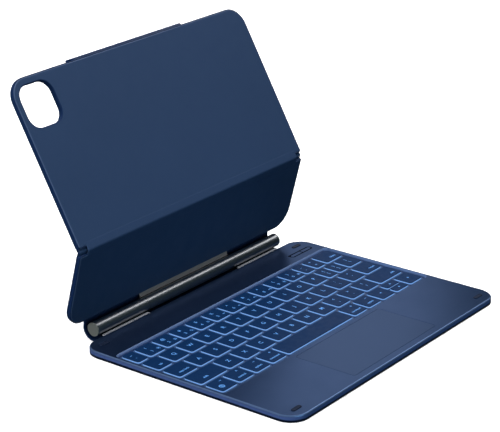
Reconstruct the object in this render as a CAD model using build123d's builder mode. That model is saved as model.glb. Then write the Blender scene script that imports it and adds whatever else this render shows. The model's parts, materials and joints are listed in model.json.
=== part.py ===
"""Keyboard case for an eleven-inch tablet, as separate parts.

A thin keyboard deck carries a barrel hinge along its rear edge. The cover behind it is two padded
panels: a low one that rises from the hinge and leans forward, and a tall one that leans back from
the fold between them and holds the tablet by magnets. A strap on the tall panel's top edge closes
over the tablet and its pen.

Millimetres. X runs along the hinge, +Y from the front edge towards the hinge, +Z up. The origin
is the middle of the deck's underside, on the table.
"""
import os
from math import atan, cos, degrees, radians, sin, tan

from build123d import *

os.makedirs("parts", exist_ok=True)

# Deck
deck_width, deck_depth, deck_height = 250.0, 181.0, 5.0
deck_corner = 14.0
skin_top = 0.7              # soft underside skin, below the case
floor_top = 1.3             # stiff bottom plate, inside the case
case_wall = 1.4
roof_bottom = 3.8           # underside of the deck's top plate
edge_chamfer = 0.8
skin_chamfer = 0.25
fit_gap = 0.2               # air round an inserted or moving piece
slip = 0.1                  # between parts that are pressed or laid together
boss_radius, boss_bore, bore_top = 2.0, 0.65, 3.5
screw_head, head_hole, screw_shank, screw_tip, head_sink = 1.5, 1.7, 0.6, 3.4, 0.05
screw_y, front_screws, rear_screws = 86.2, (-110, -40, 40, 110), (-108, 0, 108)

# Key well and keys
key_pitch, key_gap = 18.06, 2.65
narrow_pitch, tab_pitch, caps_pitch, shift_pitch, space_pitch = 13.03, 16.83, 21.46, 30.5, 79.05
keys_left, keys_right = -119.45, 119.45
keys_front = -28.66         # front edge of the front row
row_pitch = 18.04
key_depth = key_pitch - key_gap
key_bottom, key_top = 3.35, 4.6
key_corner, key_wall, key_roof = 1.8, 1.0, 0.55
key_edge = 0.15
key_travel = 0.7
stem_side = 5.0
arrow_gap = 0.9             # between the two half-height arrow keys
web_bottom, web_top = 2.55, 3.3
web_gap = 0.35              # from a key to the web round it
ledge = 1.0
well_slope = 0.8            # how far the well's walls lean outwards
well_corner = 3.4

# Layers under the keys
plate_top, guide_top, membrane_top, sheet_top, dome_top = 1.6, 1.85, 2.0, 2.1, 2.5
dome_radius = 2.2
layer_corner = 2.0
layer_inset = 0.5           # from the ledge to a layer's edge

# Trackpad
pad_width, pad_depth, pad_y = 100.6, 48.4, -60.0
pad_corner, pad_thickness, pad_travel = 2.0, 0.8, 0.3
pad_edge = 0.1
pad_board_bottom = 3.4
pad_board_inset = (4.0, 3.0)
spring_inset, spring_thickness, spring_post = 1.0, 0.3, 4.0
spring_window, spring_window_x, spring_rail = 20.0, 28.0, 6.0

# Things on the deck's top and edge
bumper_x, bumper_y = 111.5, 81.2
bumper_length, bumper_width, bumper_top, seat_bottom = 9.6, 3.4, 5.45, 4.5
window_x, window_y, window_length, window_width = 104.0, 71.5, 26.0, 5.0
port_y, port_z, port_width, port_height, port_depth = 69.0, 2.88, 8.94, 3.16, 7.3
port_wall, port_recess, tongue_width, tongue_height = 0.3, 1.0, 6.7, 0.7
switch_y, switch_travel, switch_knob = -46.5, 3.0, 3.0
switch_low, switch_high, knob_gap = 2.1, 3.5, 0.15
knob_x, knob_reach, switch_body_x, switch_body = 123.7, 3.3, 120.3, (3.0, 9.0)
bumper_round = 0.3

# Inside the deck
cell_size, cell_x = (60.0, 44.0), 86.0
board_size, board_x, board_thickness, chip_depth = (76.0, 8.6), 79.0, 0.8, 5.0
chips = [(52, 7), (66, 5), (78, 9), (94, 4), (104, 6)]   # place along the board, and length

# Hinge
hinge_y, hinge_z = 97.1, 8.7
barrel_radius, barrel_bore, shaft_radius = 5.0, 3.9, 2.0
barrel_end, barrel_split, split_gap = 105.0, 50.6, 0.25
cap_thickness, cap_plug = 0.8, 3.0
tube_end = barrel_end - cap_thickness
hub_length = 12.0
clip_gap = 0.05             # running clearance of a friction clip on the shaft
clip_length, clip_count, clip_step = 5.0, 10, 9.0
bracket_inner, bracket_outer = 51.8, 100.2
bracket_bottom, bracket_top, bracket_front = 3.6, 4.4, 75.0

# Cover panels, measured from the fold line on their inner faces
fold_y, fold_z = 85.9, 74.7
lower_lean, upper_tilt = 14.7, 60.3   # lower leans forward from upright, upper from horizontal
panel_width, panel_corner, panel_thickness = 252.0, 15.0, 4.2
lower_length, upper_length = 61.8, 124.5
fold_gap, fold_corner = 3.0, 1.5      # panel edge to fold line
fold_half_width = 118.5
skin = 0.8
rim_step = 0.2                        # inner lining stands this much proud of the skin's rim
back_round = 1.4
window_cx, window_cy, cut_width, cut_height, cut_corner = -104.5, 103.3, 31.6, 30.6, 9.5

# Spine that wraps the hinge
spine_half_width, spine_outer, spine_thickness = 105.8, 8.5, 1.2
spine_lap, spine_step_y, spine_front = 0.5, 91.0, 86.5

# Hinge leaf on the lower cover
leaf_half_width, leaf_thickness = 50.5, 0.9
leaf_foot, leaf_knee, leaf_top = (-63.6, 1.5), (-60.1, -0.4), (-38.0, -0.8)
leaf_screw_y, leaf_screw_count, leaf_screw_step = -48.0, 6, 17.0
leaf_screw, leaf_hole, leaf_screw_depth = 0.8, 0.85, 1.4
leaf_slip = 0.05

# Closure strap
strap_half_width, strap_length, strap_thickness = 62.0, 26.0, 2.6
strap_pivot_y, strap_pivot_z = 125.3, -5.7
strap_shell = 0.6
bar_inset_x, bar_inset_end, bar_shift, bar_corner = 4.0, 3.5, 1.5, 1.0
slit_middle, slit_height, tail_thickness = -3.0, 0.5, 0.3
slit_inset, slit_reach, tail_length, tail_inset, tail_rise = 1.8, 6.0, 12.8, 2.0, 1.0

# Magnets in the upper panel
magnet_size, magnet_thickness, magnet_bottom = (10.0, 6.0), 1.7, -2.6
magnet_x, magnet_step, magnet_first, magnet_rows = 74.0, 13.0, 18.0, 5

# Bodies' planes: local x along the hinge, local y up the panel, local z out of its inner face
upper_plane = Plane(origin=(0, fold_y, fold_z), x_dir=(1, 0, 0),
                    z_dir=(0, -sin(radians(upper_tilt)), cos(radians(upper_tilt))))
lower_plane = Plane(origin=(0, fold_y, fold_z), x_dir=(1, 0, 0),
                    z_dir=(0, -cos(radians(lower_lean)), -sin(radians(lower_lean))))

# Key rows from the number row to the front row; a name is a key with its own part,
# None is a character key, and a width of None runs to the right end of the keys.
key_rows = [
    [(None, narrow_pitch), *[(None, key_pitch)] * 10, *[(None, narrow_pitch)] * 2,
     ("backspace", None)],
    [("tab", tab_pitch), *[(None, key_pitch)] * 10, *[(None, narrow_pitch)] * 2, (None, None)],
    [("caps_lock", caps_pitch), *[(None, key_pitch)] * 11, ("return", None)],
    [("shift_left", shift_pitch), *[(None, key_pitch)] * 10, ("shift_right", None)],
    [("globe", key_pitch), ("control", key_pitch), ("option_left", key_pitch),
     ("command_left", key_pitch), ("space", space_pitch), ("command_right", key_pitch),
     ("option_right", key_pitch), ("arrow_left", key_pitch), ("arrow_pair", key_pitch),
     ("arrow_right", None)],
]
row_names = ["number_keys", "top_row_keys", "home_row_keys", "bottom_row_keys"]


def save(builder, name):
    """Label a finished part and write it."""
    builder.part.label = name
    export_step(builder.part, f"parts/{name}.step")


def plate(size, radius, low, high, center=(0, 0), plane=Plane.XY, mode=Mode.ADD, taper=0):
    """Add or cut a flat plate with rounded corners, from low to high above its plane."""
    with BuildSketch(plane.offset(low)) as outline:
        with Locations(center):
            if radius:
                RectangleRounded(*size, radius)
            else:
                Rectangle(*size)
    extrude(outline.sketch, amount=high - low, mode=mode, taper=taper)


def pill(length, width, low, high, centers, mode=Mode.ADD):
    """Add or cut upright pills that run along X."""
    with BuildSketch(Plane.XY.offset(low)) as outline:
        with Locations(*centers):
            SlotOverall(length, width)
    extrude(outline.sketch, amount=high - low, mode=mode)


def rod(radius, low, high, centers, mode=Mode.ADD):
    """Add or cut upright round rods."""
    with BuildSketch(Plane.XY.offset(low)) as outline:
        with Locations(*centers):
            Circle(radius)
    extrude(outline.sketch, amount=high - low, mode=mode)


def hinge_tube(left, right, outer, inner=0, mode=Mode.ADD):
    """Add or cut a tube about the hinge axis, between two places along X."""
    with BuildSketch(Plane(origin=(left, hinge_y, hinge_z), z_dir=(1, 0, 0))) as ring:
        Circle(outer)
        if inner:
            Circle(inner, mode=Mode.SUBTRACT)
    extrude(ring.sketch, amount=right - left, mode=mode)


def profile(points, half_width, mode=Mode.ADD):
    """Add or cut a straight-sided (y, z) outline, run along X."""
    with BuildSketch(Plane.YZ.offset(-half_width)) as outline:
        with BuildLine():
            Polyline(*points, close=True)
        make_face()
    extrude(outline.sketch, amount=2 * half_width, mode=mode)


def on_panel(plane, height, depth):
    """The (y, z) place of a point on a panel's plane, so far up it and out of its face."""
    place = plane.from_local_coords(Vector(0, height, depth))
    return place.Y, place.Z


def panel_outline(plane, length, inset, low, high, mode=Mode.ADD, overrun=0):
    """Add or cut a panel: large corners at its free end, small ones beside the fold.

    A positive length runs up from the fold, a negative one down. The overrun carries a cut
    out past the fold side.
    """
    way = 1 if length > 0 else -1
    near, far = way * (fold_gap - overrun), length - way * inset
    half = panel_width / 2 - inset
    with BuildSketch(plane.offset(low)) as outline:
        with BuildLine():
            corners = Polyline((-half, near), (half, near), (half, far), (-half, far), close=True)
        make_face()
        free_end = outline.vertices().group_by(Axis.Y)[-1 if way > 0 else 0]
        fillet(free_end, radius=panel_corner - inset)
        fold_end = outline.vertices().filter_by(lambda v: abs(v.Y - near) < 1e-6)
        if not overrun:
            fillet(fold_end, radius=fold_corner)
    extrude(outline.sketch, amount=high - low, mode=mode)


def add_key(left, front, width, depth):
    """Add one hollow keycap with its stem."""
    center = (left + width / 2, front + depth / 2)
    hollow = (width - 2 * key_wall, depth - 2 * key_wall)
    plate((width, depth), key_corner, key_bottom, key_top, center)
    plate(hollow, key_corner - key_wall, key_bottom, key_top - key_roof, center,
          mode=Mode.SUBTRACT)
    plate((stem_side, min(stem_side, hollow[1])), 0, key_bottom, key_top - key_roof, center)


# Where each key lies: (left, front, width, depth)
named_keys, character_keys, web_openings = {}, [[] for _ in row_names], []
for row, keys in enumerate(key_rows):
    left = keys_left
    front = keys_front + (len(key_rows) - 1 - row) * row_pitch
    for name, pitch in keys:
        width = pitch - key_gap if pitch else keys_right - left
        web_openings.append((left, front, width, key_depth))
        if name == "arrow_pair":
            half_depth = (key_depth - arrow_gap) / 2
            named_keys["arrow_down"] = (left, front, width, half_depth)
            named_keys["arrow_up"] = (left, front + half_depth + arrow_gap, width, half_depth)
        elif name:
            named_keys[name] = (left, front, width, key_depth)
        else:
            character_keys[row].append((left, front, width, key_depth))
        left += width + key_gap

keys_rear = keys_front + (len(key_rows) - 1) * row_pitch + key_depth
well_center = (0, (keys_front + keys_rear) / 2)
well_size = (keys_right - keys_left + 2 * key_gap, keys_rear - keys_front + 2 * key_gap)
layer_size = tuple(side - 2 * (ledge + layer_inset) for side in well_size)
pad_center = (0, pad_y)
corner_places = [(x * bumper_x, y * bumper_y) for x in (-1, 1) for y in (-1, 1)]
screw_places = [(x, -screw_y) for x in front_screws] + [(x, screw_y) for x in rear_screws]
key_centers = [(x + w / 2, y + d / 2) for x, y, w, d in web_openings]

# ---------------------------------------------------------------- deck: case and covers

inner_size = (deck_width - 2 * case_wall, deck_depth - 2 * case_wall)
inner_corner = deck_corner - case_wall
slope_angle = degrees(atan(well_slope / (deck_height - web_top)))

with BuildPart() as top_case:
    plate((deck_width, deck_depth), deck_corner, skin_top, deck_height)
    chamfer(top_case.edges().group_by(Axis.Z)[-1], edge_chamfer)
    plate(inner_size, inner_corner, skin_top, roof_bottom, mode=Mode.SUBTRACT)
    # rim round the key well, and bosses for the screws
    plate((inner_size[0] + fit_gap, well_size[1] + 2 * case_wall), 0, floor_top, roof_bottom,
          well_center)
    rod(boss_radius, floor_top, roof_bottom, screw_places)
    rod(boss_bore, floor_top, bore_top, screw_places, mode=Mode.SUBTRACT)
    # the well: open through, a ledge for the web, and walls that lean outwards above it
    plate((well_size[0] - 2 * ledge, well_size[1] - 2 * ledge), well_corner - ledge, floor_top,
          web_bottom, well_center, mode=Mode.SUBTRACT)
    plate(well_size, well_corner, web_bottom, web_top, well_center, mode=Mode.SUBTRACT)
    plate(well_size, well_corner, web_top, deck_height, well_center, mode=Mode.SUBTRACT,
          taper=-slope_angle)
    # trackpad window, bumper seats and indicator seat
    plate((pad_width + 2 * fit_gap, pad_depth + 2 * fit_gap), pad_corner + fit_gap, roof_bottom,
          deck_height, pad_center, mode=Mode.SUBTRACT)
    pill(bumper_length, bumper_width, seat_bottom, deck_height, corner_places,
         mode=Mode.SUBTRACT)
    pill(window_length, window_width, seat_bottom, deck_height, [(window_x, window_y)],
         mode=Mode.SUBTRACT)
    # slots for the hinge brackets, through the rear wall
    for side in (-1, 1):
        plate((bracket_outer - bracket_inner + 2 * fit_gap, deck_depth / 2 - bracket_front + 1), 0,
              bracket_bottom - fit_gap, bracket_top,
              (side * (bracket_inner + bracket_outer) / 2, (bracket_front + deck_depth / 2) / 2),
              mode=Mode.SUBTRACT)
    # charging port and power switch openings in the right wall
    with BuildSketch(Plane.YZ.offset(deck_width / 2 - port_depth - fit_gap)) as port_opening:
        with Locations((port_y, port_z)):
            SlotOverall(port_width + fit_gap, port_height + fit_gap / 2)
    extrude(port_opening.sketch, amount=port_depth + 1, mode=Mode.SUBTRACT)
    plate((2 * case_wall, switch_knob + switch_travel + 2 * fit_gap), 0, switch_low, switch_high,
          (deck_width / 2 - case_wall / 2, switch_y + switch_travel / 2), mode=Mode.SUBTRACT)
save(top_case, "top_case")

with BuildPart() as deck_skin:
    plate((deck_width, deck_depth), deck_corner, 0, skin_top)
    chamfer(deck_skin.edges().group_by(Axis.Z)[0], skin_chamfer)
    plate((2 * spine_half_width + fit_gap, 2 * (deck_depth / 2 - spine_front)), 0, 0, skin_top,
          (0, deck_depth / 2), mode=Mode.SUBTRACT)
save(deck_skin, "deck_skin")

with BuildPart() as bottom_plate:
    plate((inner_size[0] - fit_gap, inner_size[1] - fit_gap), inner_corner, skin_top, floor_top)
    rod(head_hole, skin_top, floor_top, screw_places, mode=Mode.SUBTRACT)
save(bottom_plate, "bottom_plate")

with BuildPart() as case_screws:
    rod(screw_head, skin_top + head_sink, floor_top, screw_places)
    rod(screw_shank, floor_top, screw_tip, screw_places)
save(case_screws, "case_screws")

# ---------------------------------------------------------------- deck: keyboard

with BuildPart() as key_web:
    plate((well_size[0] - slip, well_size[1] - slip), well_corner, web_bottom, web_top,
          well_center)
    for left, front, width, depth in web_openings:
        plate((width + 2 * web_gap, depth + 2 * web_gap), key_corner + web_gap, web_bottom,
              web_top, (left + width / 2, front + depth / 2), mode=Mode.SUBTRACT)
save(key_web, "key_web")

with BuildPart() as key_support_plate:
    plate(layer_size, layer_corner, floor_top, plate_top, well_center)
save(key_support_plate, "key_support_plate")

with BuildPart() as light_guide:
    plate(layer_size, layer_corner, plate_top, guide_top, well_center)
save(light_guide, "light_guide")

with BuildPart() as switch_membrane:
    plate(layer_size, layer_corner, guide_top, membrane_top, well_center)
save(switch_membrane, "switch_membrane")

with BuildPart() as dome_sheet:
    plate(layer_size, layer_corner, membrane_top, sheet_top, well_center)
    rod(dome_radius, sheet_top, dome_top, key_centers)
save(dome_sheet, "dome_sheet")

for name, place in named_keys.items():
    with BuildPart() as named_key:
        add_key(*place)
        chamfer(named_key.edges().group_by(Axis.Z)[-1], key_edge)
    save(named_key, f"key_{name}")

for name, places in zip(row_names, character_keys):
    with BuildPart() as row_keys:
        for place in places:
            add_key(*place)
        chamfer(row_keys.edges().group_by(Axis.Z)[-1], key_edge)
    save(row_keys, name)

# ---------------------------------------------------------------- deck: trackpad

with BuildPart() as trackpad_plate:
    plate((pad_width, pad_depth), pad_corner, deck_height - pad_thickness, deck_height, pad_center)
    chamfer(trackpad_plate.edges().group_by(Axis.Z)[-1], pad_edge)
save(trackpad_plate, "trackpad_plate")

with BuildPart() as trackpad_board:
    plate((pad_width - 2 * pad_board_inset[0], pad_depth - 2 * pad_board_inset[1]),
          pad_corner / 2, pad_board_bottom, deck_height - pad_thickness, pad_center)
save(trackpad_board, "trackpad_board")

with BuildPart() as trackpad_spring_plate:
    spring_top = floor_top + spring_thickness
    plate((pad_width - 2 * spring_inset, pad_depth - 2 * spring_inset), pad_corner, floor_top,
          spring_top, pad_center)
    for side in (-1, 1):
        plate((spring_window, pad_depth - 2 * spring_rail), pad_corner, floor_top, spring_top,
              (side * spring_window_x, pad_y), mode=Mode.SUBTRACT)
    rod(spring_post, spring_top, pad_board_bottom - pad_travel - slip, [pad_center])
save(trackpad_spring_plate, "trackpad_spring_plate")

# ---------------------------------------------------------------- deck: electronics and trim

with BuildPart() as battery_cells:
    for side in (-1, 1):
        plate(cell_size, layer_corner, floor_top + slip, roof_bottom - fit_gap,
              (side * cell_x, pad_y))
save(battery_cells, "battery_cells")

with BuildPart() as main_board:
    board_bottom = floor_top + fit_gap
    board_top = board_bottom + board_thickness
    plate(board_size, layer_corner / 2, board_bottom, board_top, (board_x, port_y))
    for x, length in chips:
        plate((length, chip_depth), 0, board_top, board_top + board_thickness, (x, port_y))
save(main_board, "main_board")

with BuildPart() as usb_c_port:
    with BuildSketch(Plane.YZ.offset(deck_width / 2 - port_depth)) as shell:
        with Locations((port_y, port_z)):
            SlotOverall(port_width, port_height)
    extrude(shell.sketch, amount=port_depth - slip)
    with BuildSketch(Plane.YZ.offset(deck_width / 2 - port_depth + port_recess)) as mouth:
        with Locations((port_y, port_z)):
            SlotOverall(port_width - 2 * port_wall, port_height - 2 * port_wall)
            Rectangle(tongue_width, tongue_height, mode=Mode.SUBTRACT)
    extrude(mouth.sketch, amount=port_depth, mode=Mode.SUBTRACT)
save(usb_c_port, "usb_c_port")

with BuildPart() as power_switch_body:
    plate(switch_body, 0, floor_top + fit_gap, roof_bottom - fit_gap,
          (switch_body_x, switch_y + switch_travel / 2))
save(power_switch_body, "power_switch_body")

with BuildPart() as power_switch_knob:
    plate((knob_reach, switch_knob), 2 * knob_gap, switch_low + knob_gap, switch_high - knob_gap,
          (knob_x, switch_y))
save(power_switch_knob, "power_switch_knob")

with BuildPart() as indicator_window:
    pill(window_length - slip, window_width - slip, seat_bottom, deck_height,
         [(window_x, window_y)])
save(indicator_window, "indicator_window")

with BuildPart() as bumper_pads:
    pill(bumper_length - slip, bumper_width - slip, seat_bottom, bumper_top, corner_places)
    fillet(bumper_pads.edges().group_by(Axis.Z)[-1], bumper_round)
save(bumper_pads, "bumper_pads")

# ---------------------------------------------------------------- hinge

with BuildPart() as deck_hinge_brackets:
    for side in (-1, 1):
        plate((bracket_outer - bracket_inner, hinge_y - bracket_front), 0, bracket_bottom,
              bracket_top,
              (side * (bracket_inner + bracket_outer) / 2, (bracket_front + hinge_y) / 2))
    hinge_tube(-barrel_end, barrel_end, barrel_radius, mode=Mode.SUBTRACT)
save(deck_hinge_brackets, "deck_hinge_brackets")

with BuildPart() as hinge_end_barrels:
    for left, right in ((-tube_end, -barrel_split), (barrel_split, tube_end)):
        hinge_tube(left, right, barrel_radius, barrel_bore)
    for left, right in ((-barrel_split - hub_length, -barrel_split),
                        (barrel_split, barrel_split + hub_length)):
        hinge_tube(left, right, barrel_bore, shaft_radius)
save(hinge_end_barrels, "hinge_end_barrels")

with BuildPart() as barrel_end_caps:
    hinge_tube(-barrel_end, -tube_end, barrel_radius)
    hinge_tube(-tube_end, -tube_end + cap_plug, barrel_bore)
    hinge_tube(tube_end, barrel_end, barrel_radius)
    hinge_tube(tube_end - cap_plug, tube_end, barrel_bore)
save(barrel_end_caps, "barrel_end_caps")

with BuildPart() as hinge_shaft:
    hinge_tube(-barrel_split - hub_length, barrel_split + hub_length, shaft_radius)
save(hinge_shaft, "hinge_shaft")

with BuildPart() as hinge_center_barrel:
    half = barrel_split - split_gap
    hinge_tube(-half, half, barrel_radius, barrel_bore)
save(hinge_center_barrel, "hinge_center_barrel")

with BuildPart() as friction_clips:
    for clip in range(clip_count):
        left = (clip - (clip_count - 1) / 2) * clip_step - clip_length / 2
        hinge_tube(left, left + clip_length, barrel_bore, shaft_radius + clip_gap)
save(friction_clips, "friction_clips")


def leaf_points(extra=0):
    """The bent leaf's outline: foot on the barrel, knee at the panel's edge, tail inside it."""
    front = [on_panel(lower_plane, y, z + extra) for y, z in (leaf_foot, leaf_knee, leaf_top)]
    back = [on_panel(lower_plane, y, z - leaf_thickness - extra)
            for y, z in (leaf_top, leaf_knee, leaf_foot)]
    return front + back


def screw_row(radius, low, height, mode=Mode.ADD):
    """Add or cut a round rod at each of the leaf's screws, from low up the panel's normal."""
    with BuildSketch(lower_plane.offset(low)) as circles:
        with Locations((0, leaf_screw_y)):
            with GridLocations(leaf_screw_step, 1, leaf_screw_count, 1):
                Circle(radius)
    extrude(circles.sketch, amount=height, mode=mode)


with BuildPart() as cover_hinge_leaf:
    profile(leaf_points(), leaf_half_width - split_gap)
    hinge_tube(-barrel_end, barrel_end, barrel_radius, mode=Mode.SUBTRACT)
    screw_row(leaf_hole, -skin - 2 * leaf_thickness, 3 * leaf_thickness, mode=Mode.SUBTRACT)
save(cover_hinge_leaf, "cover_hinge_leaf")

with BuildPart() as leaf_screws:
    screw_row(leaf_screw, -skin - leaf_thickness - leaf_screw_depth,
              leaf_thickness + leaf_screw_depth)
save(leaf_screws, "leaf_screws")

# ---------------------------------------------------------------- cover: lower panel

with BuildPart() as lower_outer_skin:
    panel_outline(lower_plane, -lower_length, 0, -panel_thickness, -rim_step)
    back_edges = lower_outer_skin.edges().group_by(lambda e: round(
        lower_plane.to_local_coords(e.center()).Z, 2))[0]
    chamfer(back_edges, back_round / 2)
    panel_outline(lower_plane, -lower_length, skin, skin - panel_thickness, 1,
                  mode=Mode.SUBTRACT, overrun=1)
    profile(leaf_points(fit_gap), leaf_half_width, mode=Mode.SUBTRACT)
save(lower_outer_skin, "lower_outer_skin")

with BuildPart() as lower_core:
    panel_outline(lower_plane, -lower_length, skin, skin - panel_thickness, -skin)
    profile(leaf_points(leaf_slip), leaf_half_width, mode=Mode.SUBTRACT)
    screw_row(leaf_hole, -skin - leaf_thickness - leaf_screw_depth - leaf_slip,
              leaf_thickness + 2 * leaf_screw_depth, mode=Mode.SUBTRACT)
save(lower_core, "lower_core")

with BuildPart() as lower_inner_skin:
    panel_outline(lower_plane, -lower_length, skin, -skin, 0)
    profile(leaf_points(leaf_slip), leaf_half_width, mode=Mode.SUBTRACT)
save(lower_inner_skin, "lower_inner_skin")

with BuildPart() as spine_skin:
    spine_inner = spine_outer - spine_thickness
    lean = radians(lower_lean)
    outward, upward = (cos(lean), sin(lean)), (-sin(lean), cos(lean))
    rise = (on_panel(lower_plane, -lower_length, 0)[1] - hinge_z) / cos(lean) - 2.4
    outer_knee = (hinge_y + spine_outer * outward[0], hinge_z + spine_outer * outward[1])
    inner_knee = (hinge_y + spine_inner * outward[0], hinge_z + spine_inner * outward[1])
    outer_top = (outer_knee[0] + rise * upward[0], outer_knee[1] + rise * upward[1])
    inner_top = (inner_knee[0] + rise * upward[0], inner_knee[1] + rise * upward[1])
    low = hinge_z - spine_outer
    with BuildSketch(Plane.YZ.offset(-spine_half_width)) as spine_outline:
        with BuildLine():
            CenterArc((hinge_y, hinge_z), spine_outer, -90, 90 + lower_lean)
            Polyline(outer_knee, outer_top, inner_top, inner_knee)
            CenterArc((hinge_y, hinge_z), spine_inner, -90, 90 + lower_lean)
            Polyline((hinge_y, low + spine_thickness), (spine_step_y, low + spine_thickness),
                     (spine_step_y, low + spine_lap), (spine_front, low + spine_lap),
                     (spine_front, low), (hinge_y, low))
        make_face()
    extrude(spine_outline.sketch, amount=2 * spine_half_width)
save(spine_skin, "spine_skin")

with BuildPart() as fold_hinge_skin:
    half_turn = radians((90 + lower_lean - upper_tilt) / 2)
    inside = skin * tan(half_turn)
    profile([(fold_y, fold_z), on_panel(upper_plane, fold_gap, 0),
             on_panel(upper_plane, fold_gap, -skin), on_panel(upper_plane, inside, -skin),
             on_panel(lower_plane, -fold_gap, -skin), on_panel(lower_plane, -fold_gap, 0)],
            fold_half_width)
save(fold_hinge_skin, "fold_hinge_skin")

# ---------------------------------------------------------------- cover: upper panel

window_center = (window_cx, window_cy)
cut_room = (cut_width + 2 * skin + slip, cut_height + 2 * skin + slip)


def strap_slit(width, height):
    """Cut the slit that the strap's tail goes into, through the panel's top edge."""
    plate((width, 2 * slit_reach), 0, slit_middle - height / 2, slit_middle + height / 2,
          (0, upper_length - slit_reach), plane=upper_plane, mode=Mode.SUBTRACT)


with BuildPart() as upper_outer_skin:
    panel_outline(upper_plane, upper_length, 0, -panel_thickness, -rim_step)
    rear_edges = upper_outer_skin.edges().group_by(lambda e: round(
        upper_plane.to_local_coords(e.center()).Z, 2))[0]
    chamfer(rear_edges, back_round / 2)
    panel_outline(upper_plane, upper_length, skin, skin - panel_thickness, 1,
                  mode=Mode.SUBTRACT, overrun=1)
    plate((cut_width + 2 * skin, cut_height + 2 * skin), cut_corner + skin, -panel_thickness,
          -rim_step, window_center, plane=upper_plane)
    plate((cut_width, cut_height), cut_corner, -panel_thickness - 1, 1, window_center,
          plane=upper_plane, mode=Mode.SUBTRACT)
    # slit in the top edge for the strap's tail
    strap_slit(2 * (strap_half_width - slit_inset), slit_height)
save(upper_outer_skin, "upper_outer_skin")

magnet_places = [(side * magnet_x + column * magnet_step, magnet_first + row * magnet_step)
                 for side in (-1, 1) for column in (-1, 0, 1) for row in range(magnet_rows)]

with BuildPart() as upper_core:
    panel_outline(upper_plane, upper_length, skin, skin - panel_thickness, -skin)
    plate(cut_room, cut_corner + skin, -panel_thickness - 1, 1, window_center,
          plane=upper_plane, mode=Mode.SUBTRACT)
    strap_slit(2 * (strap_half_width - slit_inset - slip), slit_height - slip)
    with BuildSketch(upper_plane.offset(magnet_bottom)) as pockets:
        with Locations(*magnet_places):
            Rectangle(magnet_size[0] + slip, magnet_size[1] + slip)
    extrude(pockets.sketch, amount=2 * magnet_thickness, mode=Mode.SUBTRACT)
save(upper_core, "upper_core")

with BuildPart() as upper_inner_skin:
    panel_outline(upper_plane, upper_length, skin, -skin, 0)
    plate(cut_room, cut_corner + skin, -2 * skin, 1, window_center, plane=upper_plane,
          mode=Mode.SUBTRACT)
save(upper_inner_skin, "upper_inner_skin")

with BuildPart() as tablet_magnets:
    with BuildSketch(upper_plane.offset(magnet_bottom)) as bars:
        with Locations(*magnet_places):
            Rectangle(*magnet_size)
    extrude(bars.sketch, amount=magnet_thickness)
save(tablet_magnets, "tablet_magnets")

# ---------------------------------------------------------------- closure strap

strap_plane = upper_plane.offset(strap_pivot_z - strap_thickness / 2)
strap_middle = strap_pivot_y - strap_length / 2
bar_center = (0, strap_middle - bar_shift)
bar_room = (2 * (strap_half_width - bar_inset_x), strap_length - 2 * bar_inset_end)

with BuildPart() as strap_tail:
    plate((2 * (strap_half_width - tail_inset), tail_length), 0,
          slit_middle - tail_thickness / 2, slit_middle + tail_thickness / 2,
          (0, upper_length + tail_rise - tail_length / 2), plane=upper_plane)
save(strap_tail, "strap_tail")

with BuildPart() as strap_skin:
    with BuildSketch(Plane.YZ.offset(-strap_half_width)) as strap_outline:
        with Locations(Location(on_panel(upper_plane, strap_middle, strap_pivot_z), upper_tilt)):
            SlotOverall(strap_length + strap_thickness, strap_thickness)
    extrude(strap_outline.sketch, amount=2 * strap_half_width)
    plate(bar_room, bar_corner, strap_shell, strap_thickness - strap_shell, bar_center,
          plane=strap_plane, mode=Mode.SUBTRACT)
save(strap_skin, "strap_skin")

with BuildPart() as strap_magnet_bar:
    plate((bar_room[0] - 2 * slip, bar_room[1] - 2 * slip), bar_corner - slip, strap_shell,
          strap_thickness - strap_shell, bar_center, plane=strap_plane)
save(strap_magnet_bar, "strap_magnet_bar")
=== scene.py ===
"""Looks of the tablet keyboard case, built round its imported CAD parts.

Sizes are in millimetres until a mesh is made. On a cover panel, a point is given as x along the
hinge, v up the panel from the fold, and d out of its inner face.
"""

import json
import math

import bmesh
import bpy
from mathutils import Matrix, Vector


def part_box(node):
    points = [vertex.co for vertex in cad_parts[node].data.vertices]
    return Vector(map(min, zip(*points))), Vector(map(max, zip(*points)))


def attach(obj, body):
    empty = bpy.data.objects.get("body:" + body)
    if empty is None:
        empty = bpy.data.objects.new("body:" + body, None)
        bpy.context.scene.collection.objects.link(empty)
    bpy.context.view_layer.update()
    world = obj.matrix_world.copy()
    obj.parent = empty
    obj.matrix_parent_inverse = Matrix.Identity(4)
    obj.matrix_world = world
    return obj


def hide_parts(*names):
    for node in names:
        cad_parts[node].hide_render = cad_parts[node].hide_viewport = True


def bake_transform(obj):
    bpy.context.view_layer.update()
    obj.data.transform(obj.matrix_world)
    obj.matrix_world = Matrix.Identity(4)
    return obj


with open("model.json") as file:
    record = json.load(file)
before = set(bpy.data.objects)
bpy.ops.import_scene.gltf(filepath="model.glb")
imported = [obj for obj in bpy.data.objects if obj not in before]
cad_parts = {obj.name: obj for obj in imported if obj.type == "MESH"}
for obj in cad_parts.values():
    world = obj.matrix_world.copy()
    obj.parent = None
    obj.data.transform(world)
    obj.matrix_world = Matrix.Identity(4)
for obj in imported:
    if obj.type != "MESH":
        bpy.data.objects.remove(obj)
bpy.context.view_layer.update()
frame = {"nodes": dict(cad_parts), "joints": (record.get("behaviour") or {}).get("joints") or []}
nodes = frame["nodes"]
joints = {joint["name"]: joint for joint in frame["joints"]}
MM = 0.001


def joint_place(name):
    """A hinge's place across its axis: (y, z) in millimetres."""
    return joints[name]["pos_m"][1] / MM, joints[name]["pos_m"][2] / MM


def box_mm(node):
    """A CAD node's lowest and highest corners in millimetres."""
    low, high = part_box(node)
    return low / MM, high / MM


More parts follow.
